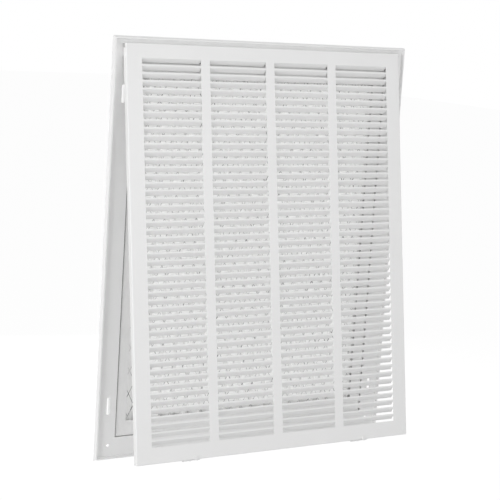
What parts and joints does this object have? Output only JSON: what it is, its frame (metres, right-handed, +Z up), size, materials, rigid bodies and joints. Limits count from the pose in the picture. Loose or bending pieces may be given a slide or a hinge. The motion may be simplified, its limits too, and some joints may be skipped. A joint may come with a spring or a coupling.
{
  "type": "return air filter grille",
  "caption": "Stamped steel grille with a top-hung louvred door on slide latches, a screwed wall frame, and a pleated filter held in the frame's collar.",
  "frame": {"origin": "centre of the duct opening in the plane of the wall, which is the centre of the four corner screw holes", "axes": "+X to the right as seen from the room, +Y into the wall, +Z up"},
  "size_m": [0.5716, 0.1499, 0.6984],
  "materials": {
    "white_paint": "satin white enamel",
    "zinc_steel": "zinc plated",
    "filter_card": "white beverage board",
    "filter_media": "white non-woven pleats",
    "filter_mesh": "dull expanded metal"
  },
  "bodies": {
    "frame": {"frame_face": "white_paint", "collar_left": "white_paint", "collar_right": "white_paint", "collar_top": "white_paint", "collar_bottom": "white_paint", "hinge_bracket_left": "white_paint", "hinge_bracket_right": "white_paint", "hinge_pin_left": "zinc_steel", "hinge_pin_right": "zinc_steel", "latch_keeper_left": "white_paint", "latch_keeper_right": "white_paint", "filter_card_front": "filter_card", "filter_card_back": "filter_card", "filter_media": "filter_media", "filter_mesh": "filter_mesh"},
    "door": {"door_panel": "white_paint", "latch_rivets_left": "zinc_steel", "latch_rivets_right": "zinc_steel"},
    "latch_left": {"latch_slide_left": "white_paint"},
    "latch_right": {"latch_slide_right": "white_paint"}
  },
  "joints": [
    {"name": "door_hinge", "type": "hinge", "parent": "frame", "child": "door", "pos_m": [0, -0.0055, 0.33385], "axis": [-1, 0, 0], "range_deg": [-9.5, 80.5]},
    {"name": "left_latch_slide", "type": "slide", "parent": "door", "child": "latch_left", "axis": [1, 0, 0], "range_m": [0, 0.008]},
    {"name": "right_latch_slide", "type": "slide", "parent": "door", "child": "latch_right", "axis": [1, 0, 0], "range_m": [0, 0.008]}
  ]
}
